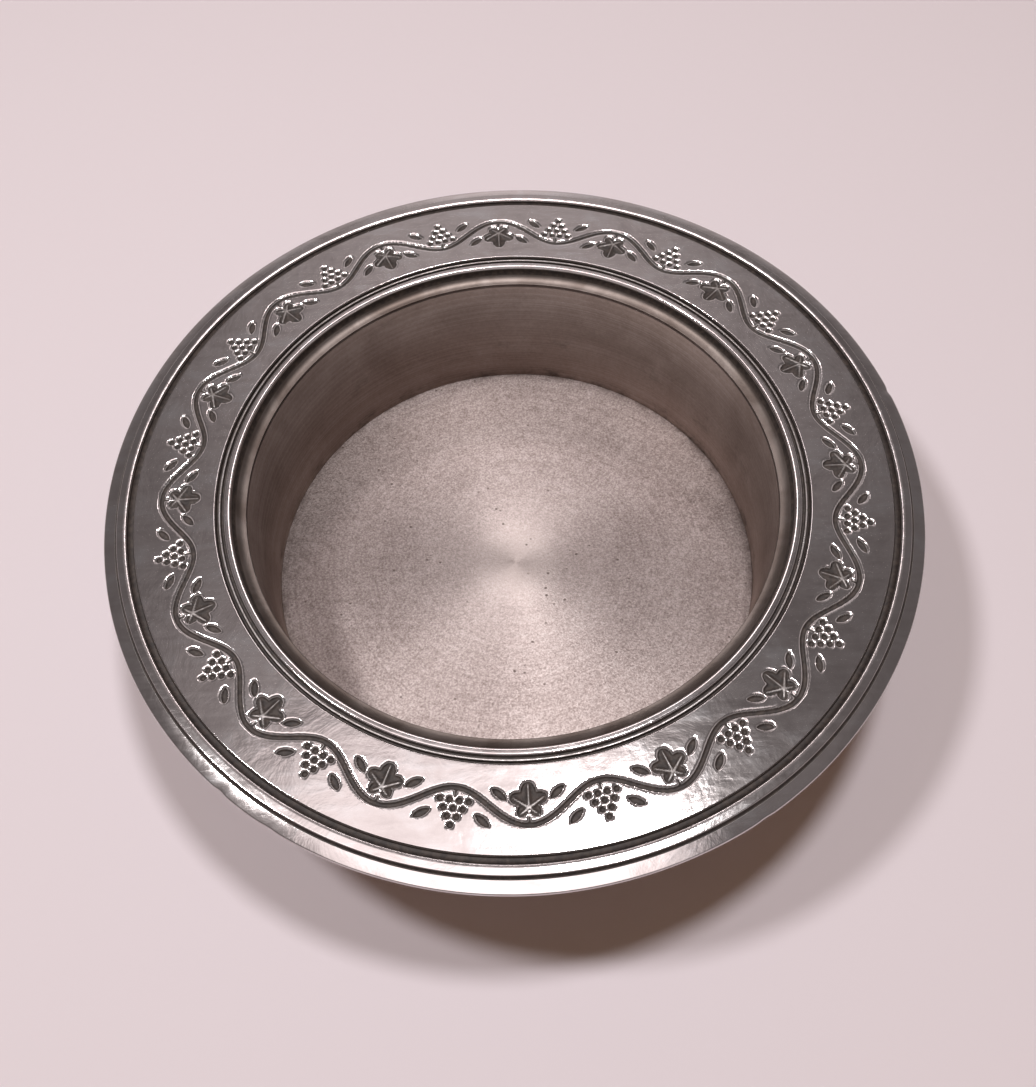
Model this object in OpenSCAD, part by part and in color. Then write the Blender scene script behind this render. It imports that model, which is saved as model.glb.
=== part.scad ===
// Round metal coaster for a wine bottle: a deep turned well with a broad decorated rim,
// made up from rings that register in each other and are soldered from below.
// Origin: centre of the underside, on the table. +Z is up, millimetres.

/* [Rim] */
// Diameter over the outer edge of the rim
rim_d = 165; // [160:0.5:176]
// Height of the rim's plane above the table
rim_h = 38.1; // [30:0.1:60]
// Rise of the decorated band from its outer to its inner edge
band_rise = 0.4; // [0.2:0.05:0.8]
// Depth of the flange's underside below the rim's plane
flange_depth = 2.4; // [2.2:0.1:3.2]
// Width of the edge moulding, from the seam in the outer groove to the outer edge
edge_w = 5.2; // [5:0.1:6]

/* [Well] */
// Diameter at the edge between throat and wall
throat_d = 108; // [106:0.5:110]
// Diameter at the floor
floor_d = 105.8; // [100:0.2:106]
// Thickness of the wall
wall_t = 2.4; // [2.2:0.1:3]
// Thickness of the floor plate
floor_t = 1.8; // [1.6:0.1:2.4]

/* [Foot and felt] */
// Height of the foot ring
foot_h = 2; // [1.6:0.1:3]
// Distance of the foot ring's outside from the edge of the floor plate
foot_inset = 1.6; // [1.6:0.1:6]
// Width of the foot ring
foot_w = 4.6; // [3:0.1:8]
// Height by which the felt stands below the foot ring
felt_proud = 0.4; // [0.2:0.1:0.8]

/* [Vine ornament] */
// Number of full waves of the vine round the rim
waves = 16; // [12:1:18]
// Depth of the recesses below the rim's plane
carve_depth = 0.55; // [0.4:0.05:0.8]
// Height of the vine's wave from its middle line
wave_h = 3.1; // [2.6:0.1:3.3]
// Width of the vine's stem
stem_w = 1.2; // [0.9:0.1:1.3]
// Length of a vine leaf's longest lobe
leaf_r = 3.9; // [3.2:0.1:4]
// Radius of a berry's hollow
berry_r = 0.74; // [0.6:0.02:0.78]

/* [Hidden] */

polished = [0.62, 0.60, 0.59];
turned = [0.44, 0.41, 0.39];
satin = [0.66, 0.62, 0.61];
solder = [0.55, 0.55, 0.56];
felt = [0.16, 0.24, 0.18];
glue = [0.80, 0.76, 0.62];

round_fn = 180;
arc_steps = 10;

// Radii of the well and the rim
rim_r = rim_d / 2;
throat_r = throat_d / 2;
floor_r = floor_d / 2;

// Heights above the table
foot_z = felt_proud;
plate_z = foot_z + foot_h;
floor_z = plate_z + floor_t;
seat_z = rim_h - flange_depth;

// Throat and wall: the throat ends and the straight wall begins at throat_z
throat_z = rim_h - 2.3;
wall_draft = (throat_r - floor_r) / (throat_z - floor_z);
function wall_r(z) = throat_r - wall_draft * (throat_z - z);

// Rebates: the inner half of the wall rises into the bead ring, and the floor plate's lower
// half spreads under the wall
lap = wall_t / 2;
wall_seam_z = throat_z - 0.8;
wall_seam_r = wall_r(wall_seam_z) + lap;
plate_r = floor_r + lap;
rebate_z = plate_z + floor_t / 2;

// Bead ring: two grooves with a ridge between, then the bead
bead_ring_r = throat_r + 5.65;
bead_groove_z = rim_h - 0.45;
ridge_z = rim_h + 0.2;
bead_out_r = throat_r + 4.05;
bead_in_r = throat_r + 2.75;
bead_z = rim_h + 0.2;
bead_h = 0.25;
cove_r = throat_r + 2.5;
cove_z = rim_h - 0.35;
ledge_r = bead_ring_r + 2.25;
ledge_z = seat_z - 1.6;

// Flange: band, outer groove, tongue under the edge moulding
band_in_r = bead_ring_r + 0.2;
edge_seam_r = rim_r - edge_w;
groove_in_r = edge_seam_r - 1.05;
band_out_r = groove_in_r - 0.3;
groove_z = rim_h - 0.75;
tongue_r = rim_r - 2.1;
tongue_z = rim_h - 1.5;

// Edge moulding: raised fillet, riser, sloping border with a rounded edge
fillet_in_r = edge_seam_r + 0.3;
fillet_out_r = edge_seam_r + 2.1;
fillet_h = 0.05;
riser_r = edge_seam_r + 2.45;
riser_z = rim_h - 0.95;
border_z = rim_h - 1.38;
lip_round = 0.25;

// Run solder and fillets
seam_w = 0.4;
fillet_r = 1.1;
foot_fillet = 1;

// Foot ring, with the felt pad inside it
foot_out_r = plate_r - foot_inset;
foot_in_r = foot_out_r - foot_w;
foot_round = 0.6;
felt_gap = 0.4;
felt_r = foot_in_r - felt_gap;
glue_t = 0.15;
glue_inset = 0.5;

// Vine ornament in the middle of the band
vine_r = (band_in_r + band_out_r) / 2 - 0.3;
wave_angle = 360 / waves;
stem_steps = 12;
carve_z = rim_h - carve_depth;
carve_top = rim_h + 2;
vein_w = 0.4;
leaf_steps = 50;
leaf_lobes = 5;
petiole_w = 0.8;
berry_rows = 4;
berry_pitch = 1.72;
row_pitch = 1.5;
first_row = -0.78;
leaf_shift = 0.95;
bud_l = 4;
bud_w = 1.6;
bud_shift = 2.45;
bud_turn = 38;
bud_place = 0.3;

// The band is level where the ornament is cut, and falls away on both sides of it
level_z = rim_h + band_rise / 2;
level_w = 5.4;

// Point at a radius and an angle
function polar(r, a) = [r * cos(a), r * sin(a)];

// Points of an elliptic arc about [cx, cz]
function arc(cx, cz, rx, rz, from, to) = [
  for (i = [0 : arc_steps])
    let (a = from + (to - from) * i / arc_steps)
      [cx + rx * cos(a), cz + rz * sin(a)]
];

// Radius of the vine's middle line at an angle: a wave about vine_r
function stem_r(a, side) = vine_r + wave_h * cos(waves * a) + side * stem_w / 2;

// Outline of a vine leaf, lobes pointing away from its stalk at 180 degrees
function leaf_outline() = [
  for (i = [0 : leaf_steps - 1])
    let (a = 360 * i / leaf_steps, swell = abs(cos(leaf_lobes * a / 2)))
      polar(leaf_r * (0.52 + 0.38 * swell + 0.1 * cos(a)), a)
];

// Solid of revolution from an outline of [radius, height] points
module turned_ring(outline) {
  rotate_extrude($fn = round_fn) polygon(outline);
}

// Outline with straight sides, centred on a line from a to b, w wide
module bar(a, b, w) {
  d = (b - a) / norm(b - a) * w / 2;
  n = [-d[1], d[0]];
  polygon([a + n, a - n, b - n, b + n]);
}

// The vine's wavy stem as a closed band
module stem() {
  steps = waves * stem_steps;
  difference() {
    polygon([for (i = [0 : steps - 1]) let (a = 360 * i / steps) polar(stem_r(a, 1), a)]);
    polygon([for (i = [0 : steps - 1]) let (a = 360 * i / steps) polar(stem_r(a, -1), a)]);
  }
}

// Leaf with its raised veins left standing; the stalk comes from +X
module leaf() {
  rotate(180) difference() {
    polygon(leaf_outline());
    for (lobe = [-2 : 2])
      bar([-0.25 * leaf_r, 0], polar((0.8 - 0.08 * abs(lobe)) * leaf_r, lobe * 360 / leaf_lobes), vein_w);
  }
}

// Small pointed bud leaf, the common part of two discs
module bud() {
  bow = (bud_l * bud_l / 4 + bud_w * bud_w / 4) / bud_w;
  intersection() {
    translate([0, bow - bud_w / 2]) circle(bow, $fn = round_fn);
    translate([0, bud_w / 2 - bow]) circle(bow, $fn = round_fn);
  }
}

// All sharp-edged recesses of the ornament, in plan
module carving() {
  stem();
  for (i = [0 : waves - 1]) {
    rotate(i * wave_angle) {
      translate([vine_r - leaf_shift, 0]) leaf();
      bar([vine_r + wave_h - 0.3, 0], [vine_r + 2, 0], petiole_w);
      for (side = [-1, 1])
        rotate(side * bud_place * wave_angle)
          translate([vine_r + bud_shift, 0]) rotate(90 + side * bud_turn) bud();
    }
    rotate((i + 0.5) * wave_angle) {
      bar([vine_r - wave_h + 0.3, 0], [vine_r - 1.55, 0], petiole_w);
      for (side = [-1, 1])
        rotate(side * bud_place * wave_angle)
          translate([vine_r - bud_shift, 0]) rotate(90 - side * bud_turn) bud();
    }
  }
}

// Hollows of one bunch of grapes, widest at its stalk, seated on the band's surface
module bunch() {
  for (row = [0 : berry_rows - 1])
    for (k = [0 : berry_rows - 1 - row])
      let (
        r = vine_r + first_row + row * row_pitch,
        across = (k - (berry_rows - 1 - row) / 2) * berry_pitch
      )
        translate([r, across, level_z + 0.1]) sphere(berry_r, $fn = 48);
}

module rim_flange() {
  color(polished) difference() {
    turned_ring([
      [bead_ring_r, seat_z], [bead_ring_r, bead_groove_z], [band_in_r, rim_h + band_rise],
      [vine_r - level_w, level_z], [vine_r + level_w, level_z],
      [band_out_r, rim_h], [groove_in_r, groove_z], [edge_seam_r, groove_z],
      [edge_seam_r, tongue_z], [tongue_r, tongue_z],
      [tongue_r, seat_z + seam_w], [tongue_r - seam_w, seat_z]
    ]);
    translate([0, 0, carve_z]) linear_extrude(carve_top - carve_z) carving();
    for (i = [0 : waves - 1]) rotate((i + 0.5) * wave_angle) bunch();
  }
}

module edge_moulding() {
  color(polished) turned_ring(concat(
    [[edge_seam_r, tongue_z], [edge_seam_r, groove_z]],
    [for (i = [0 : arc_steps])
      let (t = i / arc_steps)
        [fillet_in_r + (fillet_out_r - fillet_in_r) * t, rim_h + fillet_h * sin(180 * t)]],
    [[riser_r, riser_z]],
    [[rim_r - lip_round, border_z], [rim_r, border_z - lip_round],
     [rim_r, seat_z + lip_round], [rim_r - lip_round, seat_z],
     [tongue_r + seam_w, seat_z], [tongue_r, seat_z + seam_w], [tongue_r, tongue_z]]
  ));
}

module bead_ring() {
  color(polished) turned_ring(concat(
    [[ledge_r, seat_z], [bead_ring_r, seat_z], [bead_ring_r, bead_groove_z],
     [bead_ring_r - 0.4, bead_groove_z], [bead_ring_r - 0.6, ridge_z],
     [bead_ring_r - 0.9, ridge_z], [bead_ring_r - 1.05, bead_groove_z],
     [bead_out_r + 0.15, bead_groove_z]],
    [for (i = [0 : arc_steps])
      let (t = i / arc_steps)
        [bead_out_r + (bead_in_r - bead_out_r) * t, bead_z + bead_h * (1 - pow(2 * t - 1, 4))]],
    arc(throat_r, cove_z, cove_r - throat_r, cove_z - throat_z, 0, -90),
    [[wall_r(wall_seam_z), wall_seam_z], [wall_seam_r, wall_seam_z],
     [wall_seam_r, ledge_z], [ledge_r, ledge_z]]
  ));
}

module cup_wall() {
  color(turned) turned_ring([
    [wall_seam_r, ledge_z], [wall_r(ledge_z) + wall_t, ledge_z],
    [wall_r(plate_z) + wall_t, plate_z], [plate_r + seam_w, plate_z],
    [plate_r, plate_z + seam_w], [plate_r, rebate_z], [floor_r, rebate_z], [floor_r, floor_z],
    [wall_r(wall_seam_z), wall_seam_z], [wall_seam_r, wall_seam_z]
  ]);
}

module floor_plate() {
  color(satin) turned_ring([
    [0, plate_z], [plate_r - seam_w, plate_z], [plate_r, plate_z + seam_w],
    [plate_r, rebate_z], [floor_r, rebate_z], [floor_r, floor_z], [0, floor_z]
  ]);
}

module foot_ring() {
  color(turned) turned_ring([
    [foot_in_r, plate_z], [foot_in_r, foot_z + foot_round], [foot_in_r + foot_round, foot_z],
    [foot_out_r - foot_round, foot_z], [foot_out_r, foot_z + foot_round], [foot_out_r, plate_z]
  ]);
}

module felt_pad() {
  color(felt) cylinder(plate_z - glue_t, felt_r, felt_r, $fn = round_fn);
}

module felt_adhesive() {
  color(glue) translate([0, 0, plate_z - glue_t])
    cylinder(glue_t, felt_r - glue_inset, felt_r - glue_inset, $fn = round_fn);
}

module edge_solder_seam() {
  color(solder) turned_ring([
    [tongue_r - seam_w, seat_z], [tongue_r + seam_w, seat_z], [tongue_r, seat_z + seam_w]
  ]);
}

module flange_solder_fillet() {
  color(solder) turned_ring(concat(
    [[ledge_r, seat_z]],
    arc(ledge_r + fillet_r, seat_z - fillet_r, fillet_r, fillet_r, 90, 180)
  ));
}

module wall_solder_fillet() {
  top_r = wall_r(ledge_z) + wall_t;
  foot = [wall_r(ledge_z - fillet_r) + wall_t, ledge_z - fillet_r];
  color(solder) turned_ring(concat(
    [foot, [top_r, ledge_z]],
    arc(top_r + fillet_r, ledge_z - fillet_r, fillet_r, fillet_r, 90, 170)
  ));
}

module floor_solder_seam() {
  color(solder) turned_ring([
    [plate_r - seam_w, plate_z], [plate_r + seam_w, plate_z], [plate_r, plate_z + seam_w]
  ]);
}

module foot_solder_fillet() {
  color(solder) turned_ring(concat(
    [[foot_out_r, plate_z]],
    arc(foot_out_r + foot_fillet, plate_z - foot_fillet, foot_fillet, foot_fillet, 90, 180)
  ));
}

rim_flange();
edge_moulding();
bead_ring();
cup_wall();
floor_plate();
foot_ring();
felt_pad();
felt_adhesive();
edge_solder_seam();
flange_solder_fillet();
wall_solder_fillet();
floor_solder_seam();
foot_solder_fillet();
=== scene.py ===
"""A round pewter coaster for a wine bottle, dressed piece by piece over its solid model, on a pale table."""

import bmesh
import bpy
import numpy as np
from mathutils import Matrix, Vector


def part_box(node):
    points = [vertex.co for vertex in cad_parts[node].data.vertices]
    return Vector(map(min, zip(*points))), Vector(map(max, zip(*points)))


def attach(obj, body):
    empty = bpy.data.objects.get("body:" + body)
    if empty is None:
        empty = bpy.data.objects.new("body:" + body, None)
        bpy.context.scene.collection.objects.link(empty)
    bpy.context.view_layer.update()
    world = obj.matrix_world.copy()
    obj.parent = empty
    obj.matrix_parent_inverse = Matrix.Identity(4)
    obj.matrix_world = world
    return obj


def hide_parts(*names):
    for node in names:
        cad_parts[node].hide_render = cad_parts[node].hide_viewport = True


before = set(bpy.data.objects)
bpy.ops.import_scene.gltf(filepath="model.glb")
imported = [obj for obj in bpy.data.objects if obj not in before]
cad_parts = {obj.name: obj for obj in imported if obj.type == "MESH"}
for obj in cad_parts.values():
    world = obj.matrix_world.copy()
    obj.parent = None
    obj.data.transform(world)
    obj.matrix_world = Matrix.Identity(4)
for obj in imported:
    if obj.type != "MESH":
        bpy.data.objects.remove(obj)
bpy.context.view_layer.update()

# ---------------------------------------------------------------------------------------------------------
# Camera: it looks down into the well from the front, at the height and tilt that the rim's circles and the
# well's circles give. Its frame is 1036 by 1087 pixels, and the focal length was found in those pixels. It
# stands camera_up above RIM_H, the height of the band's outer edge, BAND_RISE below the flange's top.
MM = 0.001
BAND_RISE = 0.4
RIM_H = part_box("rim_flange")[1].z / MM - BAND_RISE
focal_px = 1242.4
frame_h_px = 1087
sensor_mm = 36
camera_back = 134.9
camera_up = 211.8
camera_tilt, camera_yaw, camera_roll = np.radians((29.63, -0.28, -2.79))

camera = bpy.data.objects.new("camera", bpy.data.cameras.new("camera"))
camera.data.sensor_width = sensor_mm
camera.data.lens = sensor_mm * focal_px / frame_h_px
camera.data.clip_start = 0.01
camera.matrix_world = (
    Matrix.Translation((0, -camera_back * MM, (RIM_H + camera_up) * MM))
    @ Matrix.Rotation(camera_yaw, 4, "Z")
    @ Matrix.Rotation(camera_tilt, 4, "X")
    @ Matrix.Rotation(camera_roll, 4, "Z")
)
bpy.context.scene.collection.objects.link(camera)
bpy.context.scene.camera = camera
bpy.context.scene.view_settings.view_transform = "Standard"


# ---------------------------------------------------------------------------------------------------------
# Table and light: a plain pale table, two soft lamps overhead that light it, and a room that shows only in
# reflections: a bright ceiling panel, smaller ones round it and a pale far wall. Its other light is even and
# warm, and the camera sees a pale backdrop.
class Wire:
    """One value in a finish. Sums and products of wires and numbers add Math nodes."""

    def __init__(self, finish, socket):
        self.finish, self.socket = finish, socket

    def maths(self, operation, *others):
        sockets = dict(enumerate((self, *others)))
        return self.finish.add("ShaderNodeMath", {"operation": operation}, sockets)

    def __add__(self, other):
        return self.maths("ADD", other)

    def __mul__(self, other):
        return self.maths("MULTIPLY", other)

    def __sub__(self, other):
        return self.maths("SUBTRACT", other)

    def __truediv__(self, other):
        return self.maths("DIVIDE", other)

    def __pow__(self, other):
        return self.maths("POWER", other)

    def __rsub__(self, other):
        return self * -1 + other

    __radd__, __rmul__ = __add__, __mul__

    def bend(self, low, high, low_to=0.0, high_to=1.0):
        """Smooth step: low_to below low, high_to above high."""
        settings = {"interpolation_type": "SMOOTHSTEP"}
        return self.finish.add(
            "ShaderNodeMapRange", settings, {0: self, 1: low, 2: high, 3: low_to, 4: high_to}
        )


class Finish:
    """The nodes of one material or of the world."""

    def __init__(self, owner):
        self.owner = owner
        owner.use_nodes = True
        self.tree = owner.node_tree
        self.tree.nodes.clear()

    def add(self, kind, settings=None, sockets=None, output=0):
        """Adds a node, sets its settings and then its sockets, and gives one of its outputs if it has any."""
        node = self.tree.nodes.new(kind)
        for name, value in (settings or {}).items():
            if name == "stops":
                for extra in range(len(value) - 2):
                    node.color_ramp.elements.new(0.5)
                for stop, (place, colour) in zip(node.color_ramp.elements, value):
                    stop.position, stop.color = place, (*colour, 1)
            else:
                setattr(node, name, value)
        for name, value in (sockets or {}).items():
            if isinstance(value, Wire):
                self.tree.links.new(value.socket, node.inputs[name])
            else:
                node.inputs[name].default_value = value
        return Wire(self, node.outputs[output]) if node.outputs else None

    def parts(self, vector):
        """The three coordinates of a vector."""
        first = self.add("ShaderNodeSeparateXYZ", sockets={0: vector})
        return first, *(Wire(self, first.socket.node.outputs[i]) for i in (1, 2))

    def join(self, x, y, z=0.0):
        return self.add("ShaderNodeCombineXYZ", sockets={0: x, 1: y, 2: z})

    def mix(self, amount, first, second, blend="MIX"):
        """Colour mix of two colours or colour wires."""
        settings = {"data_type": "RGBA", "blend_type": blend}
        colours = [c if isinstance(c, Wire) else (*c, 1) for c in (first, second)]
        return self.add("ShaderNodeMix", settings, {0: amount, 6: colours[0], 7: colours[1]}, output=2)

    def noise(self, vector, scale, detail=2.0, rough=0.5, warp=0.0):
        """Cloudy noise from 0 to 1 with scale patches to one unit of the vector."""
        sockets = {"Vector": vector, "Scale": scale, "Detail": detail, "Roughness": rough, "Distortion": warp}
        return self.add("ShaderNodeTexNoise", {"noise_dimensions": "3D"}, sockets)


room = Finish(bpy.data.worlds.new("room"))
bpy.context.scene.world = room.owner
toward_x, toward_y, toward_z = room.parts(room.add("ShaderNodeTexCoord", output="Generated"))
# Where a ray meets a ceiling one unit up: sky_x to the right and sky_y away from the camera. Rays that rise
# less than least_lift count as rising by that.
least_lift = 0.08
lift = toward_z.maths("MAXIMUM", least_lift)
sky_x = toward_x / lift
sky_y = toward_y / lift


def panel(x, y, half_x, half_y):
    """Soft-edged panel of that ceiling with its middle at x, y: 1 inside and 0 outside. half_x and half_y
    each give the half width where it ends and where it starts to fade."""
    across = (sky_x - x).maths("ABSOLUTE").bend(*half_x)
    return across * (sky_y - y).maths("ABSOLUTE").bend(*half_y)


wedge = ((sky_x + 0.07).maths("ABSOLUTE") + sky_y * 0.4).bend(0.37, 0.22)
main_panel = wedge * sky_y.bend(0.42, 0.29) * sky_y.bend(-0.6, -0.25)
main_core = panel(-0.05, -0.12, (0.3, 0.2), (0.3, 0.2))
far_spot = panel(-0.01, 0.66, (0.2, 0.03), (0.12, 0.02))
left_glow = panel(-0.5, 0.05, (0.22, 0.05), (0.3, 0.1))
right_glow = panel(0.5, 0.05, (0.22, 0.05), (0.3, 0.1))
near_left = panel(-0.27, 0.4, (0.2, 0.0), (0.25, 0.0))
sideways = sky_x.maths("ABSOLUTE")
overhead = sideways.bend(0.26, 0.12) * sky_y.bend(0.34, 0.42) * sky_y.bend(0.95, 0.8)
far_wall = sideways.bend(0.54, 0.06) * sky_y.bend(0.42, 0.8)
low_down = (sky_x * sky_x + sky_y * sky_y).bend(1.5, 9.0)
mirrored = 0.165 + main_panel * 1.35 + main_core * 0.7 + far_spot * 8.0 + overhead * 0.15
mirrored = mirrored + far_wall * 0.34 + left_glow * 0.2 + right_glow * 0.05 + near_left * 0.2 + low_down * 0.4
mirrored_light = room.add(
    "ShaderNodeBackground", sockets={"Color": (1.0, 0.905, 0.90, 1), "Strength": mirrored}
)
plain_light = room.add("ShaderNodeBackground", sockets={"Color": (1.0, 0.64, 0.345, 1), "Strength": 0.14})
backdrop = room.add("ShaderNodeBackground", sockets={"Color": (0.76, 0.68, 0.685, 1), "Strength": 1.0})
by_eye = room.add("ShaderNodeLightPath", output="Is Camera Ray")
by_gloss = room.add("ShaderNodeLightPath", output="Is Glossy Ray")
unseen = room.add("ShaderNodeMixShader", sockets={0: by_gloss, 1: plain_light, 2: mirrored_light})
every_ray = room.add("ShaderNodeMixShader", sockets={0: by_eye, 1: unseen, 2: backdrop})
room.add("ShaderNodeOutputWorld", sockets={"Surface": every_ray})

lamp_across = 0.13
for name, place, watts in (
    ("lamp_right", (0.092, 0.075, 0.9), 3.4),
    ("lamp_left", (-0.42, 0.05, 0.9), 3.7),
):
    lamp = bpy.data.objects.new(name, bpy.data.lights.new(name, "AREA"))
    lamp.data.shape = "DISK"
    lamp.data.size = lamp_across
    lamp.data.energy = watts
    lamp.data.color = (1.0, 0.985, 0.98)
    lamp.location = place
    lamp.rotation_euler = lamp.location.to_track_quat("Z", "Y").to_euler()
    lamp.visible_camera = False
    bpy.context.scene.collection.objects.link(lamp)

table_half = 0.5
table_mesh = bpy.data.meshes.new("table")
table_corners = [(x * table_half, y * table_half, 0) for x, y in ((-1, -1), (1, -1), (1, 1), (-1, 1))]
table_mesh.from_pydata(table_corners, [], [(0, 1, 2, 3)])
table = bpy.data.objects.new("table", table_mesh)
bpy.context.scene.collection.objects.link(table)


def surface(finish, normal=None, **sockets):
    """Ends a finish with a Principled shader. Names of sockets have _ for each space."""
    inputs = {name.replace("_", " "): value for name, value in sockets.items()}
    if normal is not None:
        inputs["Normal"] = normal
    shader = finish.add("ShaderNodeBsdfPrincipled", sockets=inputs)
    finish.add("ShaderNodeOutputMaterial", sockets={"Surface": shader})
    return finish.owner


table_finish = Finish(bpy.data.materials.new("pale_table"))
table_mesh.materials.append(surface(table_finish, Base_Color=(0.845, 0.76, 0.82, 1), Roughness=0.75))


# ---------------------------------------------------------------------------------------------------------
# Cup wall: a straight turned tube of pewter with a little draft, left dull and darkened by age. Its colour is
# painted darker towards the top, painted shade above a lower part lit as by the bright floor. Its foot takes
# the floor plate in a rebate, and its top laps into the bead ring.
def eased(outline, arc_points=4, margin=0.12, side_share=0.4, least_reach=1e-4):
    """Outline of [radius, height, round, patina and shade] rows with its corners eased. A corner becomes a
    parabola that leaves both sides at the tangent length of its round, or at side_share of a short side.
    Where a side is long, one more point follows at margin beyond, so that the broad faces stay flat. Patina
    and painted shade run evenly from one corner to the next."""
    rows = np.array(outline, float)
    done = []
    for before, here, after in zip(np.roll(rows, 1, 0), rows, np.roll(rows, -1, 0)):
        back, ahead = before - here, after - here
        back_l, ahead_l = np.hypot(*back[:2]), np.hypot(*ahead[:2])
        cosine = np.clip(back[:2] @ ahead[:2] / (back_l * ahead_l), -1, 1)
        tangent = here[2] * np.tan((np.pi - np.arccos(cosine)) / 2)
        reach = min(tangent, side_share * back_l, side_share * ahead_l)
        if here[2] == 0 or reach < least_reach:
            done.append(here)
            continue
        start, end = here + back * reach / back_l, here + ahead * reach / ahead_l
        if back_l > 3 * (reach + margin):
            done.append(here + back * (reach + margin) / back_l)
        for t in np.linspace(0, 1, arc_points + 1):
            done.append((1 - t) ** 2 * start + 2 * t * (1 - t) * here + t * t * end)
        if ahead_l > 3 * (reach + margin):
            done.append(here + ahead * (reach + margin) / ahead_l)
    return np.array(done)


def wrapped(name, radius, angle, height, soil, finish, slot, *nodes, extra=None):
    """Piece whose point (i, j) lies at radius, angle and height [i, j]: row i runs once round the axis, and
    rows follow the outline, the last joined to the first. Rows on the axis shrink to one point there. The
    sign of the outline's area says which way round its faces point outwards."""
    on_axis, weld = 1e-6, 1e-7
    rows, around = radius.shape
    points = np.stack([radius * np.cos(angle), radius * np.sin(angle), height], -1).reshape(-1, 3) * MM
    index = np.arange(rows * around).reshape(rows, around)
    following, beside = np.roll(index, -1, 0), np.roll(index, -1, 1)
    quads = np.stack([index, beside, np.roll(following, -1, 1), following], -1)
    spokes = radius[:, 0]
    turn = np.sum(spokes * np.roll(height[:, 0], -1) - np.roll(spokes, -1) * height[:, 0])
    quads = quads[(spokes > on_axis) | (np.roll(spokes, -1) > on_axis)].reshape(-1, 4)
    if turn < 0:
        quads = quads[:, ::-1]
    mesh = bpy.data.meshes.new(name)
    mesh.from_pydata(points.tolist(), [], quads.tolist())
    for label, values in {"soil": soil, **(extra or {})}.items():
        layer = mesh.attributes.new(label, "FLOAT", "POINT")
        layer.data.foreach_set("value", values.ravel().astype(np.float32))
    if spokes.min() < on_axis:
        shell = bmesh.new()
        shell.from_mesh(mesh)
        bmesh.ops.remove_doubles(shell, verts=shell.verts, dist=weld)
        shell.to_mesh(mesh)
        shell.free()
    mesh.polygons.foreach_set("use_smooth", np.ones(len(mesh.polygons), bool))
    mesh.materials.append(finish)
    piece = bpy.data.objects.new(name, mesh)
    bpy.context.scene.collection.objects.link(piece)
    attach(piece, "root")
    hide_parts(*nodes)
    return piece


def turned(name, outline, finish, slot, *nodes, around=720, wander=None):
    """Ring turned on the lathe: the eased outline carried once round the axis. wander gives the change of
    radius and height of a row of points from their radii and angles."""
    rows = eased(outline)
    angle = np.linspace(0, 2 * np.pi, around, endpoint=False)[None, :].repeat(len(rows), 0)
    radius, height, soil = (rows[:, [k]].repeat(around, 1) for k in (0, 1, 3))
    if wander is not None:
        shift_r, shift_z = wander(radius, angle)
        radius, height = radius + shift_r, height + shift_z
    return wrapped(name, radius, angle, height, soil, finish, slot, *nodes)


def object_place(finish):
    """Object coordinates of a point, in metres."""
    return finish.add("ShaderNodeTexCoord", output="Object")


def polar_place(finish):
    """Object coordinates of a point, its distance from the axis, its angle in radians and its height."""
    place = object_place(finish)
    x, y, z = finish.parts(place)
    return place, (x * x + y * y) ** 0.5, y.maths("ARCTAN2", x), z


def bump(finish, height, depth_mm, strength=1.0, normal=None):
    """Normal of a relief in which a height of 1 stands depth_mm above a height of 0."""
    sockets = {"Height": height, "Distance": depth_mm * MM, "Strength": strength}
    if normal is not None:
        sockets["Normal"] = normal
    return finish.add("ShaderNodeBump", sockets=sockets)


# Radii (R) and heights (Z) in millimetres: outer edge of the bead ring's ledge, end of its throat, the floor
# and its plate, undersides of flange (SEAT) and bead ring (LEDGE), and the seam of bead ring and wall.
LIP_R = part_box("bead_ring")[1].x / MM
THROAT_R = LIP_R - 7.9
FLOOR_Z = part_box("floor_plate")[1].z / MM
PLATE_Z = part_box("floor_plate")[0].z / MM
PLATE_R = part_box("floor_plate")[1].x / MM
REBATE_Z = (PLATE_Z + FLOOR_Z) / 2
WALL_T = 2.4
FLOOR_R = PLATE_R - WALL_T / 2
SEAT_Z = RIM_H - 2.4
LEDGE_Z = SEAT_Z - 1.6
THROAT_Z = RIM_H - 2.3
WALL_SEAM_Z = THROAT_Z - 0.8
SEAM_W = 0.4


def wall_r(z):
    """Inner radius of the straight wall, which narrows evenly from throat to floor."""
    return FLOOR_R + (THROAT_R - FLOOR_R) * (z - FLOOR_Z) / (THROAT_Z - FLOOR_Z)


LAP_R = wall_r(WALL_SEAM_Z) + WALL_T / 2
WALL_OUT_R = wall_r(LEDGE_Z) + WALL_T
wall = Finish(bpy.data.materials.new("turned_pewter"))
place, around_r, around_a, up = polar_place(wall)
tool_lines = wall.noise(wall.join(around_a * 0.25, around_r * 900, up * 2600), 1.0, 3, 0.65)
fine_lines = wall.noise(wall.join(around_a * 3.0, around_r * 2000, up * 9000), 1.0, 2, 0.6)
clouds = wall.noise(place, 75, 4, 0.6, 0.6)
blots = wall.noise(wall.join(around_a * 6.0, up * 150, around_r * 60), 1.0, 5, 0.7, 0.2)
speckle = wall.noise(place, 1300, 3, 0.7)
# More blotches darken the wall within 4.5 mm of the floor.
corner_dark_from_z = FLOOR_Z + 4.5
corner_darkening = up.bend(corner_dark_from_z * MM, FLOOR_Z * MM) * blots.bend(0.42, 0.7)
dark = blots.bend(0.55, 0.78) * 0.35 + corner_darkening * 0.6
tone = wall.add(
    "ShaderNodeValToRGB",
    {"stops": [(0.3, (0.24, 0.175, 0.147)), (0.5, (0.36, 0.273, 0.239)), (0.68, (0.47, 0.376, 0.339))]},
    {0: clouds * 0.35 + tool_lines * 0.4 + speckle * 0.25},
)
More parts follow.
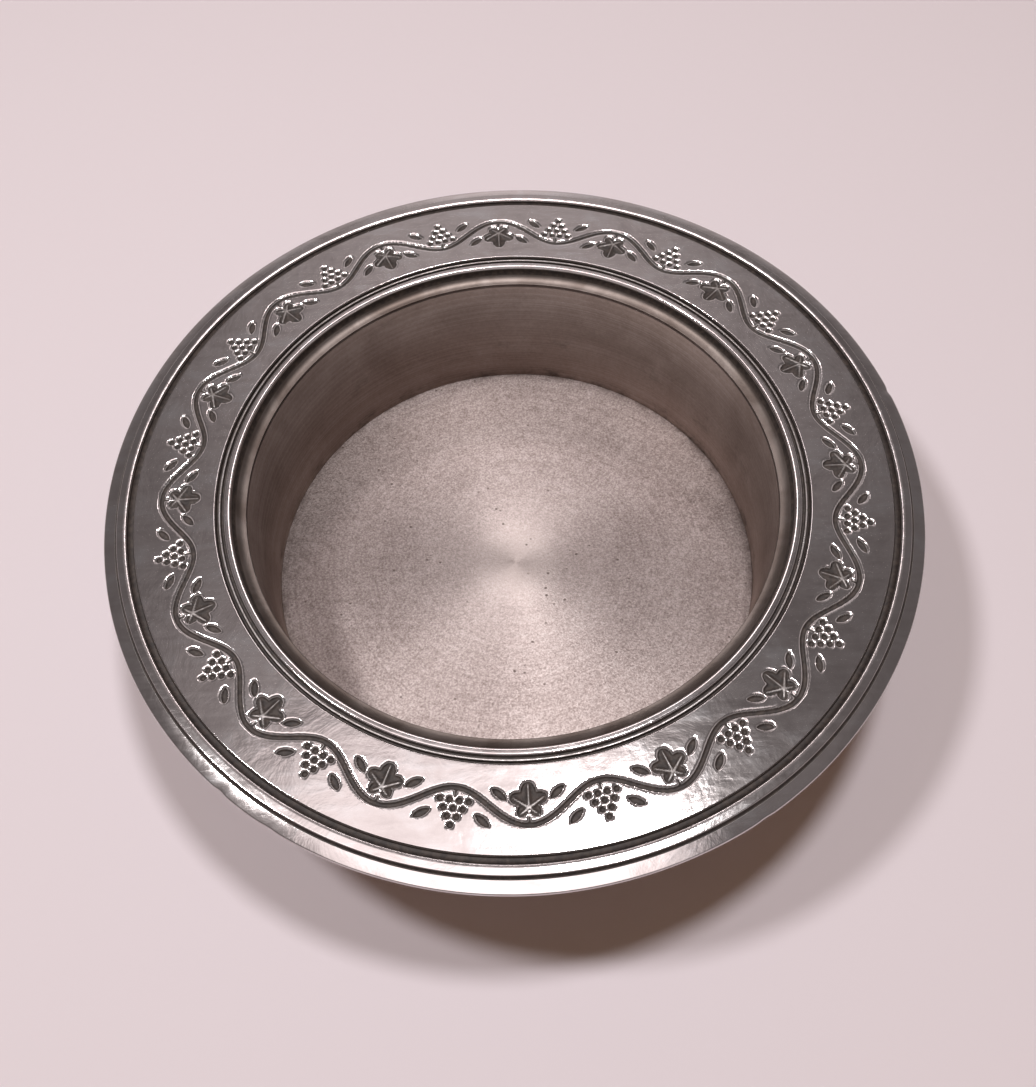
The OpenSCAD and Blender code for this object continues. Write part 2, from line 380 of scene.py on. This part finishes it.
# Painted light: the colour darkens towards the top of the wall, so that its lower part looks lit by the
# bright floor.
tone = wall.mix(up.bend(FLOOR_Z * MM, THROAT_Z * MM), tone, (0.52, 0.515, 0.52), "MULTIPLY")
colour = wall.mix(dark.maths("MINIMUM", 1.0), tone, (0.08, 0.058, 0.048))
relief = tool_lines * 0.45 + fine_lines * 0.2 + speckle * 0.35
TURNED_PEWTER = surface(
    wall,
    bump(wall, relief, 0.09, 0.8),
    Base_Color=colour,
    Metallic=1.0,
    Roughness=0.46 + clouds * 0.12 + dark * 0.2,
    Anisotropic=0.5,
    Anisotropic_Rotation=0.25,
)
turned(
    "cup_wall_turned",
    [
        [FLOOR_R, FLOOR_Z, 0, 0], [FLOOR_R, REBATE_Z, 0, 0], [PLATE_R, REBATE_Z, 0, 0],
        [PLATE_R, PLATE_Z + SEAM_W, 0, 0], [PLATE_R + SEAM_W, PLATE_Z, 0.05, 0],
        [wall_r(PLATE_Z) + WALL_T, PLATE_Z, 0.35, 0], [WALL_OUT_R, LEDGE_Z, 0, 0],
        [LAP_R, LEDGE_Z, 0, 0], [LAP_R, WALL_SEAM_Z, 0, 0], [wall_r(WALL_SEAM_Z), WALL_SEAM_Z, 0, 0],
    ],
    TURNED_PEWTER,
    "turned_pewter",
    "cup_wall",
)

# ---------------------------------------------------------------------------------------------------------
# Floor plate: a flat disc let into the wall's rebate from below. Its top is fine-grained and satin, with
# faint rings from the lathe that spread the light into two opposite fans, small dark pits, and a middle
# painted paler as a painted highlight.
floor = Finish(bpy.data.materials.new("satin_pewter"))
place, around_r, around_a, _ = polar_place(floor)
grain = floor.noise(place, 2300, 2, 0.7)
coarse_grain = floor.noise(place, 520, 3, 0.6)
rings = floor.noise(floor.join(around_a * 0.4, around_r * 1500, 0.0), 1.0, 3, 0.6)
clouds = floor.noise(place, 45, 5, 0.62, 0.5)
pit_cells = floor.add("ShaderNodeTexVoronoi", {"feature": "F1"}, {"Vector": place, "Scale": 420.0})
pits = pit_cells.bend(0.18, 0.05) * floor.noise(place, 130, 3, 0.6).bend(0.50, 0.60)
near_wall = around_r.bend((FLOOR_R - 1.8) * MM, (FLOOR_R - 0.1) * MM)
# Patches darken the floor within 1.8 mm of the wall.
wall_foot_darkening = near_wall * floor.noise(place, 260, 4, 0.7).bend(0.45, 0.62)
tone = floor.add(
    "ShaderNodeValToRGB",
    {"stops": [(0.38, (0.165, 0.131, 0.123)), (0.5, (0.275, 0.229, 0.218)), (0.62, (0.395, 0.342, 0.329))]},
    {0: clouds * 0.18 + grain * 0.52 + coarse_grain * 0.16 + rings * 0.14},
)
# Painted highlight: the middle of the floor is painted paler, most within 14 mm of the centre.
painted_highlight_middle = (around_r.bend(30 * MM, 0.0) + around_r.bend(14 * MM, 0.0)) * 0.36
tone = floor.mix(painted_highlight_middle, tone, (0.55, 0.48, 0.46))
colour = floor.mix((pits * 0.75 + wall_foot_darkening * 0.7).maths("MINIMUM", 1.0), tone, (0.12, 0.09, 0.08))
SATIN_PEWTER = surface(
    floor,
    bump(floor, grain * 0.55 + coarse_grain * 0.35 + rings * 0.1 - pits * 0.5, 0.07, 0.9),
    Base_Color=colour,
    Metallic=1.0,
    Roughness=0.41 + coarse_grain * 0.12 + pits * 0.15 + around_r.bend(10 * MM, 0.0) * 0.22,
    Anisotropic=0.6,
    Anisotropic_Rotation=0.25,
)
# Rows of points at these radii divide the flat faces.
under_r, middle_r, centre_r = 20, 30, 8
turned(
    "floor_plate_satin",
    [
        [0, PLATE_Z, 0, 0], [under_r, PLATE_Z, 0, 0], [PLATE_R - SEAM_W, PLATE_Z, 0, 0],
        [PLATE_R, PLATE_Z + SEAM_W, 0, 0], [PLATE_R, REBATE_Z, 0, 0], [FLOOR_R, REBATE_Z, 0, 0],
        [FLOOR_R, FLOOR_Z, 0.1, 0], [middle_r, FLOOR_Z, 0, 0], [centre_r, FLOOR_Z, 0, 0], [0, FLOOR_Z, 0, 0],
    ],
    SATIN_PEWTER,
    "satin_pewter",
    "floor_plate",
    around=360,
)

# ---------------------------------------------------------------------------------------------------------
# Bead ring: the turned pewter lip of the well, soldered in under the flange. Outside is a double groove with
# a thin ridge in it, then a bright bead, and below the bead a hollow throat that ends at the wall. The
# grooves keep a dark patina, and the steep top of the throat under the bead is painted dark as painted shade.
def attribute(finish, name):
    """A value that the mesh carries at its points."""
    return finish.add("ShaderNodeAttribute", {"attribute_name": name}, output="Fac")


rim = Finish(bpy.data.materials.new("polished_pewter"))
place, around_r, around_a, _ = polar_place(rim)
soil = attribute(rim, "soil")
worn = attribute(rim, "worn")


def along_x(scale, turn, seed=0.0):
    """Object coordinates scaled for marks that run along x. turn and seed then pick a part of the noise."""
    sockets = {"Vector": place, "Location": (seed, seed, 0), "Rotation": (0, 0, turn), "Scale": scale}
    return rim.add("ShaderNodeMapping", sockets=sockets)


def scratches(turn, seed):
    """Fine short scratches: noise stretched twenty times along x and cut to its peaks."""
    return rim.noise(along_x((260, 5200, 260), turn, seed), 1.0, 1, 0.4, 0.3).bend(0.66, 0.82)


clouds = rim.noise(place, 85, 5, 0.6, 0.7)
smears = rim.noise(rim.join(around_a * 9.0, around_r * 130, 0.0), 1.0, 4, 0.6, 1.2)
wisps = rim.noise(rim.join(around_a * 60.0, around_r * 90, 2.0), 1.0, 3, 0.6, 0.6)
rubbed = rim.noise(along_x((70, 420, 70), 0.7), 1.0, 4, 0.6, 0.6)
scratch = scratches(0.4, 1.0).maths("MAXIMUM", scratches(1.5, 3.0)).maths("MAXIMUM", scratches(2.5, 5.0))
turning = rim.noise(rim.join(around_a * 0.5, around_r * 5200, 0.0), 1.0, 2, 0.6)
grime = rim.noise(place, 900, 3, 0.65)
patina_and_shade_mask = (soil * 1.15 + (grime - 0.5) * 0.35).bend(0.25, 0.75)
tone = rim.add(
    "ShaderNodeValToRGB",
    {"stops": [(0.3, (0.47, 0.425, 0.42)), (0.5, (0.59, 0.545, 0.54)), (0.7, (0.67, 0.655, 0.665))]},
    {0: clouds * 0.4 + smears * 0.3 + rubbed * 0.3},
)
patina = rim.mix(grime.bend(0.35, 0.7), (0.021, 0.0145, 0.013), (0.058, 0.042, 0.036))
throat = around_r.bend((THROAT_R + 2.7) * MM, (THROAT_R + 2.4) * MM)
turned_tone = rim.mix(clouds.bend(0.3, 0.7), (0.095, 0.074, 0.065), (0.17, 0.142, 0.130))
# The edges of the sinking are mixed towards a pale colour: partly burnished wear, partly a painted highlight.
clean = rim.mix(throat, rim.mix(worn * 0.35, tone, (0.80, 0.76, 0.75)), turned_tone)
colour = rim.mix(patina_and_shade_mask, clean, patina)
waviness = bump(rim, clouds * 0.45 + smears * 0.12 + rubbed * 0.04, 0.3, 0.6)
fine_marks = wisps * 0.6 + turning * 0.25 - scratch * 0.05 + grime * patina_and_shade_mask * 2.0
POLISHED_PEWTER = surface(
    rim,
    bump(rim, fine_marks, 0.008, 0.5, waviness),
    Base_Color=colour,
    Metallic=1.0 - patina_and_shade_mask,
    Roughness=0.03 + smears * 0.06 + rubbed * 0.08 + scratch * 0.04 + patina_and_shade_mask * 0.55 + throat * 0.34,
)


def bow(start_r, end_r, z, rise, points):
    """Rows of a shallow convex moulding between two radii, rise high. It is flat on top and falls towards
    both sides as the sixth power of the distance from its middle."""
    t = np.linspace(-1, 1, points)
    return [[(start_r * (1 - k) + end_r * (1 + k)) / 2, z + rise * (1 - k**6), 0, 0] for k in t]


def cove(outer_r, top_z, inner_r, low_z, points):
    """Rows of the hollow throat: a quarter of an ellipse that starts upright at the top and ends level, with
    painted shade under the bead that fades as the throat opens."""
    t = np.linspace(0, np.pi / 2, points)
    out, down = np.cos(t), np.sin(t)
    # Painted shade: the steep top of the throat, under the bead, is darkened.
    painted_throat_shade = 0.8 * np.clip((out - 0.7) / 0.2, 0, 1)
    rows = [inner_r + (outer_r - inner_r) * out, top_z - (top_z - low_z) * down, 0 * t, painted_throat_shade]
    return np.stack(rows, 1).tolist()


BEAD_RING_R = THROAT_R + 5.65
GROOVE_Z = RIM_H - 0.45
RIDGE_Z = RIM_H + 0.2
RIDGE_OUT_R = BEAD_RING_R - 0.6
RIDGE_IN_R = BEAD_RING_R - 0.9
BEAD_Z = RIM_H + 0.25
BEAD_OUT_R = THROAT_R + 4.02
BEAD_IN_R = THROAT_R + 2.75
turned(
    "bead_ring_polished",
    [
        [LIP_R, SEAT_Z, 0, 0], [BEAD_RING_R, SEAT_Z, 0, 1], [BEAD_RING_R, GROOVE_Z, 0, 1],
        [RIDGE_OUT_R + 0.2, GROOVE_Z, 0.1, 1], [RIDGE_OUT_R, RIDGE_Z, 0.1, 0.4],
        [RIDGE_IN_R, RIDGE_Z, 0.1, 0.4], [RIDGE_IN_R - 0.15, GROOVE_Z, 0.1, 1],
        [BEAD_OUT_R + 0.18, GROOVE_Z, 0.1, 1], [BEAD_OUT_R + 0.06, RIM_H + 0.05, 0.0, 0.2],
    ]
    + bow(BEAD_OUT_R, BEAD_IN_R, BEAD_Z, rise=0.17, points=17)
    + cove(BEAD_IN_R - 0.25, RIM_H - 0.35, THROAT_R, THROAT_Z, points=12)[:-1]
    + [
        [THROAT_R, THROAT_Z, 0.12, 0], [wall_r(WALL_SEAM_Z), WALL_SEAM_Z, 0, 0],
        [LAP_R, WALL_SEAM_Z, 0, 0], [LAP_R, LEDGE_Z, 0, 0], [LIP_R, LEDGE_Z, 0.2, 0],
    ],
    POLISHED_PEWTER,
    "polished_pewter",
    "bead_ring",
    around=900,
)

# ---------------------------------------------------------------------------------------------------------
# Rim flange: the broad cast pewter ring that carries the border. A running vine with leaves and bunches of
# grapes is sunk into it and left dark, the ground round it is rubbed bright, the edges of the sinking paler
# still, partly burnished and partly a painted highlight, and an outer groove ends it.
WAVES = 16
BAND_IN_R = BEAD_RING_R + 0.2
RIM_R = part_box("edge_moulding")[1].x / MM
TONGUE_R = RIM_R - 2.1
TONGUE_Z = RIM_H - 1.5
EDGE_SEAM_R = RIM_R - 5.2
EDGE_GROOVE_Z = RIM_H - 0.75
BAND_OUT_R = EDGE_SEAM_R - 1.35
VINE_R = (BAND_IN_R + BAND_OUT_R) / 2 - 0.3
VINE_HALF = 5.4
SWING = 3.1
STEM_W = 1.2
BERRY_R = 0.74
CARVE_DEPTH = 0.75
VEIN_DEPTH = 0.3
WALL_RUN = 0.24
STEP = 0.3


def band_z(r):
    """Height of the band, which falls evenly from its inner to its outer edge."""
    return RIM_H + BAND_RISE * (BAND_OUT_R - r) / (BAND_OUT_R - BAND_IN_R)


def stroke(x, y, start, end, width, end_width=None):
    """Distance to a round-ended stroke from start to end, less half its width, which tapers evenly."""
    along = np.array(end) - start
    t = np.clip(((x - start[0]) * along[0] + (y - start[1]) * along[1]) / (along @ along), 0, 1)
    taper = width + ((end_width or width) - width) * t
    return np.hypot(x - start[0] - t * along[0], y - start[1] - t * along[1]) - taper / 2


def leaf_distance(x, y, length=3.9, lobes=5, vein=0.3):
    """Distances to a vine leaf with its stalk towards +x, whose radius swells once for each lobe, and to the
    tapering veins that stay standing in it, one to each lobe."""
    angle = np.arctan2(y, -x)
    reach = length * (0.52 + 0.38 * np.abs(np.cos(lobes * angle / 2)) + 0.1 * np.cos(angle))
    veins = [
        stroke(x, y, (0.25 * length, 0), (-l * np.cos(a), l * np.sin(a)), vein * 1.4, vein * 0.6)
        for a, l in ((2 * np.pi * k / lobes, (0.8 - 0.08 * abs(k)) * length) for k in range(-2, 3))
    ]
    return (np.hypot(x, y) - reach) * 0.8, np.min(veins, 0)


def carving(radius, angle):
    """Distances to the sunk border, negative inside it: one for the flat-bottomed strokes and leaves, one
    from the nearest berry's centre and one to the nearest vein. The border repeats WAVES times round the rim:
    its stem swings as a cosine, a leaf hangs inwards from each outer bend and a bunch of berries outwards
    from each inner one, and beside each bend lie two buds, each the overlap of two circles."""
    wave = 2 * np.pi / WAVES

    def near(centre, middle_r):
        """Outward and sideways distance from the nearest of WAVES places at a radius."""
        turn = (angle - centre + wave / 2) % wave - wave / 2
        return radius * np.cos(turn) - middle_r, radius * np.sin(turn)

    slope = WAVES * SWING * np.sin(WAVES * angle) / radius
    off_stem = np.abs(radius - VINE_R - SWING * np.cos(WAVES * angle)) / np.sqrt(1 + slope**2)
    leaf, vein = leaf_distance(*near(0, VINE_R - 0.95))
    leaf_stalk = stroke(*near(0, VINE_R), (SWING, 0), (1.8, 0), 0.8)
    bunch_stalk = stroke(*near(wave / 2, VINE_R), (-SWING, 0), (-1.5, 0), 0.8)
    cut = np.min([off_stem - STEM_W / 2, leaf, leaf_stalk, bunch_stalk], 0)

    bud_l, bud_w, bud_off, bud_lean = 4.0, 1.6, 2.45, 38
    arc_r = (bud_l**2 + bud_w**2) / (4 * bud_w)
    for centre, outward in ((0, 1), (wave / 2, -1)):
        for side in (-1, 1):
            x, y = near(centre + side * 0.3 * wave, VINE_R + outward * bud_off)
            lean = np.radians(90 + outward * side * bud_lean)
            along, across = x * np.cos(lean) + y * np.sin(lean), y * np.cos(lean) - x * np.sin(lean)
            cut = np.minimum(cut, np.hypot(along, np.abs(across) + arc_r - bud_w / 2) - arc_r)

    berry_rows, row_gap, berry_gap, first_row = 4, 1.5, 1.72, -0.78
    x, y = near(wave / 2, VINE_R)
    berries = [
        np.hypot(x - first_row - row_gap * row, y - (k - (berry_rows - 1 - row) / 2) * berry_gap)
        for row in range(berry_rows)
        for k in range(berry_rows - row)
    ]
    return cut, np.min(berries, 0), vein


def drawn_to_edges(radius, angle, reach=0.02, least_steepness=0.4):
    """Grid moved so that its points lie on the edges of the carving: a point within about half a step of a
    top or bottom edge slides onto it along the steepest change of distance, measured over reach."""

    def distance(r, a):
        cut, berry, vein = carving(r, a)
        return np.minimum(cut, berry - BERRY_R)

    here = distance(radius, angle)
    out = (distance(radius + reach, angle) - distance(radius - reach, angle)) / (2 * reach)
    side = (distance(radius, angle + reach / radius) - distance(radius, angle - reach / radius)) / (2 * reach)
    off = here - np.where(here > -WALL_RUN / 2, 0, -WALL_RUN)
    move = np.where(np.abs(off) < 0.55 * STEP, off / np.maximum(out**2 + side**2, least_steepness), 0)
    move = np.clip(move, -0.5 * STEP, 0.5 * STEP)
    return radius - move * out, angle - move * side / radius


points_per_wave = 84
around = WAVES * points_per_wave
angle_row = np.linspace(0, 2 * np.pi, around, endpoint=False)
vine_in_r, vine_out_r = VINE_R - VINE_HALF, VINE_R + VINE_HALF
rows = eased(
    [
        [BEAD_RING_R, SEAT_Z, 0, 1], [BEAD_RING_R, GROOVE_Z, 0, 1], [BAND_IN_R, RIM_H + BAND_RISE, 0.13, 0],
        [vine_in_r, band_z(vine_in_r), 0, 0], [vine_out_r, band_z(vine_out_r), 0, 0],
        [BAND_OUT_R, RIM_H, 0.13, 0], [EDGE_SEAM_R - 1.05, EDGE_GROOVE_Z, 0.12, 1],
        [EDGE_SEAM_R, EDGE_GROOVE_Z, 0, 1], [EDGE_SEAM_R, TONGUE_Z, 0, 1], [TONGUE_R, TONGUE_Z, 0, 0],
        [TONGUE_R, SEAT_Z + SEAM_W, 0, 0], [TONGUE_R - SEAM_W, SEAT_Z, 0.05, 0],
        [THROAT_R + 9.0, SEAT_Z, 0, 0],
    ]
)
split = int(np.argmax(rows[:, 0] > VINE_R))
field_r = np.arange(vine_in_r + STEP, vine_out_r - STEP / 2, STEP)
field = np.stack([field_r, band_z(field_r), 0 * field_r, 0 * field_r], 1)
rows = np.concatenate([rows[:split], field, rows[split:]])
radius, height, soil_grid = (rows[:, [k]].repeat(around, 1) for k in (0, 1, 3))
angle_grid = angle_row[None, :].repeat(len(rows), 0)
burnish_and_highlight_grid = np.zeros_like(radius)
band = slice(split, split + len(field_r))
radius[band], angle_grid[band] = drawn_to_edges(radius[band], angle_grid[band])
cut, berry, vein = carving(radius[band], angle_grid[band])
off_vein = np.maximum(vein, 0)
vein_flank, vein_rub = 0.2, 0.18
sunk = CARVE_DEPTH * np.clip(-cut / WALL_RUN, 0, 1)
sunk -= np.clip(sunk - VEIN_DEPTH, 0, None) * np.exp(-((off_vein / vein_flank) ** 2))
# A berry is a bowl, part of a ball whose centre lies bowl_lift above the band.
bowl_lift = 0.1
bowl = np.sqrt(np.maximum(BERRY_R**2 + bowl_lift**2 - berry**2, bowl_lift**2)) - bowl_lift
sunk = np.maximum(sunk, bowl)
height[band] = band_z(radius[band]) - sunk
soil_full_at = 0.15
rubbed_vein = 0.55 * np.exp(-((off_vein / vein_rub) ** 2)) * (cut < -WALL_RUN)
soil_grid[band] = np.clip(sunk / soil_full_at, 0, 1) - rubbed_vein
# Paler edges round the sinking: partly burnished wear, partly a painted highlight where a rounded edge would
# catch the light.
burnish_and_highlight_run = 0.3
from_edge = np.minimum(cut, berry - BERRY_R)
burnish_and_highlight_grid[band] = np.exp(-((from_edge / burnish_and_highlight_run) ** 2)) * (from_edge > -0.05)
wrapped(
    "rim_flange_polished",
    radius,
    angle_grid,
    height,
    soil_grid,
    POLISHED_PEWTER,
    "polished_pewter",
    "rim_flange",
    extra={"worn": burnish_and_highlight_grid},
)


# ---------------------------------------------------------------------------------------------------------
# Edge moulding: a turned pewter ring that laps over the flange's tongue and is soldered to it from below.
# From the groove outwards it has a raised fillet, a sharp step down and a sloping border with a thin,
# slightly nicked edge.
def worked_edge(radius, angle):
    """Hand-finished edge: the radius wavers as three sines by a few hundredths of a millimetre, and four
    small nicks bite in, each a bell curve of the way along the edge. Both fade out inwards."""
    wavy_from, wavy_run, edge_r = 80.5, 2.0, 82
    waver = 0.03 * np.sin(3 * angle + 1) + 0.02 * np.sin(11 * angle) + 0.008 * np.sin(29 * angle + 2) - 0.06
    near_edge = np.clip((radius - wavy_from) / wavy_run, 0, 1) ** 2
    nicks = sum(
        -size * np.exp(-(((angle - np.radians(where)) * edge_r / width) ** 2))
        for where, size, width in ((228, 0.22, 1.2), (13, 0.3, 0.9), (236, 0.15, 1.8), (300, 0.12, 1.4))
    )
    return (waver + nicks) * near_edge, np.zeros_like(radius)


STEP_TOP_R = EDGE_SEAM_R + 2.18
STEP_FOOT_R = EDGE_SEAM_R + 2.45
turned(
    "edge_moulding_polished",
    [
        [EDGE_SEAM_R, TONGUE_Z, 0, 1], [EDGE_SEAM_R, EDGE_GROOVE_Z, 0, 1],
        [EDGE_SEAM_R + 0.3, RIM_H, 0.13, 0], [EDGE_SEAM_R + 0.85, RIM_H + 0.03, 0.6, 0],
        [STEP_TOP_R - 0.1, RIM_H - 0.06, 0.12, 0], [STEP_TOP_R, RIM_H - 0.25, 0, 0.9],
        [STEP_FOOT_R, RIM_H - 0.95, 0.08, 1], [STEP_FOOT_R + 0.17, RIM_H - 0.97, 0, 0.9],
        [STEP_FOOT_R + 0.33, RIM_H - 0.99, 0, 0],
        [RIM_R - 0.1, RIM_H - 1.54, 0.25, 0], [RIM_R, SEAT_Z + 0.05, 0.25, 0],
        [TONGUE_R + SEAM_W, SEAT_Z, 0.05, 0], [TONGUE_R, SEAT_Z + SEAM_W, 0, 0], [TONGUE_R, TONGUE_Z, 0, 0],
    ],
    POLISHED_PEWTER,
    "polished_pewter",
    "edge_moulding",
    around=1080,
    wander=worked_edge,
)

# ---------------------------------------------------------------------------------------------------------
# Solder: runs of soft solder in the V-grooves below and small fillets in the corners, dull and a little
# lumpy where the iron passed.
run = Finish(bpy.data.materials.new("soft_solder"))
place = object_place(run)
lumps = run.noise(place, 700, 3, 0.6)
film = run.noise(place, 160, 4, 0.6)
SOFT_SOLDER = surface(
    run,
    bump(run, lumps, 0.08, 0.6),
    Base_Color=run.mix(film.bend(0.35, 0.65), (0.34, 0.335, 0.33), (0.52, 0.52, 0.515)),
    Metallic=1.0,
    Roughness=0.34 + film * 0.2,
)
FILLET = 1.1


def hollow(corner_r, corner_z, size, points=8):
    """Rows of a fillet in the corner between a level underside and an upright face: a quarter circle that
    touches both, then the corner itself."""
    t = np.linspace(np.pi / 2, np.pi, points)
    return [[corner_r + size + size * np.cos(k), corner_z - size + size * np.sin(k), 0, 0] for k in t] + [
        [corner_r, corner_z, 0, 0]
    ]


def v_run(seam_r, low_z):
    """Rows of the solder in a V-groove, flush with the underside."""
    return [[seam_r - SEAM_W, low_z, 0, 0], [seam_r + SEAM_W, low_z, 0, 0], [seam_r, low_z + SEAM_W, 0, 0]]


def lumpy(radius, angle):
    """Slow waver of a hand-run seam, inwards only."""
    return -0.02 * (1 + np.sin(23 * angle) * np.sin(7 * angle + 1)), np.zeros_like(radius)


FOOT_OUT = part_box("foot_ring")[1].x / MM
FOOT_FILLET = PLATE_R - SEAM_W - FOOT_OUT - 0.2
for name, rows, node, wander in (
    ("edge_solder_run", v_run(TONGUE_R, SEAT_Z), "edge_solder_seam", None),
    ("floor_solder_run", v_run(PLATE_R, PLATE_Z), "floor_solder_seam", None),
    ("flange_solder_run", hollow(LIP_R, SEAT_Z, FILLET), "flange_solder_fillet", lumpy),
    ("wall_solder_run", hollow(WALL_OUT_R, LEDGE_Z, FILLET), "wall_solder_fillet", lumpy),
    ("foot_solder_run", hollow(FOOT_OUT, PLATE_Z, FOOT_FILLET), "foot_solder_fillet", None),
):
    turned(name, rows, SOFT_SOLDER, "solder", node, wander=wander)

# ---------------------------------------------------------------------------------------------------------
# Foot ring: a plain turned ring with rounded edges, of the same dull metal as the wall, soldered under the
# floor plate so that the plate stays clear of the table.
FOOT_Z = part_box("foot_ring")[0].z / MM
FOOT_W = 4.6
turned(
    "foot_ring_turned",
    [
        [FOOT_OUT - FOOT_W, PLATE_Z, 0, 0], [FOOT_OUT - FOOT_W, FOOT_Z, 0.7, 0],
        [FOOT_OUT, FOOT_Z, 0.7, 0], [FOOT_OUT, PLATE_Z, 0, 0],
    ],
    TURNED_PEWTER,
    "turned_pewter",
    "foot_ring",
)

# ---------------------------------------------------------------------------------------------------------
# Felt and its adhesive: a disc of dense dark green felt inside the foot ring, standing a little proud of it
# so that no metal touches the table, held by a thin film of glue.
glue = Finish(bpy.data.materials.new("glue_film"))
place = object_place(glue)
streaks = glue.noise(place, 300, 3, 0.6)
GLUE_FILM = surface(
    glue,
    bump(glue, streaks, 0.02, 0.5),
    Base_Color=glue.mix(streaks.bend(0.3, 0.7), (0.70, 0.64, 0.46), (0.82, 0.78, 0.62)),
    Roughness=0.35 + streaks * 0.3,
)
film_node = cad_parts["felt_adhesive"]
film_node.data.materials.clear()
film_node.data.materials.append(GLUE_FILM)

felt = Finish(bpy.data.materials.new("green_felt"))
place = object_place(felt)
fibres = felt.noise(place, 2400, 4, 0.75, 2.5)
tufts = felt.noise(place, 420, 3, 0.6)
nap = fibres * 0.7 + tufts * 0.3
GREEN_FELT = surface(
    felt,
    bump(felt, nap, 0.12, 0.8),
    Base_Color=felt.mix(nap.bend(0.3, 0.7), (0.028, 0.062, 0.040), (0.075, 0.135, 0.090)),
    Roughness=0.92,
    Sheen_Weight=0.3,
    Sheen_Roughness=0.5,
)
FELT_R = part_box("felt_pad")[1].x / MM
FELT_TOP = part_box("felt_pad")[1].z / MM
EDGE_W = 3.0


def cut_edge(radius, angle):
    """Edge cut by hand with scissors: the radius wavers as three sines by about a tenth of a millimetre and
    inwards only, less and less over EDGE_W from the edge."""
    waver = 0.05 * np.sin(5 * angle) + 0.04 * np.sin(17 * angle + 1) + 0.03 * np.sin(61 * angle) - 0.12
    return waver * np.clip((radius - FELT_R + EDGE_W) / EDGE_W, 0, 1), np.zeros_like(radius)


middle_r = 15
turned(
    "felt_pad_cut",
    [
        [0, 0, 0, 0], [middle_r, 0, 0, 0], [FELT_R - EDGE_W, 0, 0, 0], [FELT_R, 0, 0.35, 0],
        [FELT_R, FELT_TOP, 0.25, 0], [FELT_R - EDGE_W, FELT_TOP, 0, 0], [middle_r, FELT_TOP, 0, 0],
        [0, FELT_TOP, 0, 0],
    ],
    GREEN_FELT,
    "felt",
    "felt_pad",
    around=480,
    wander=cut_edge,
)
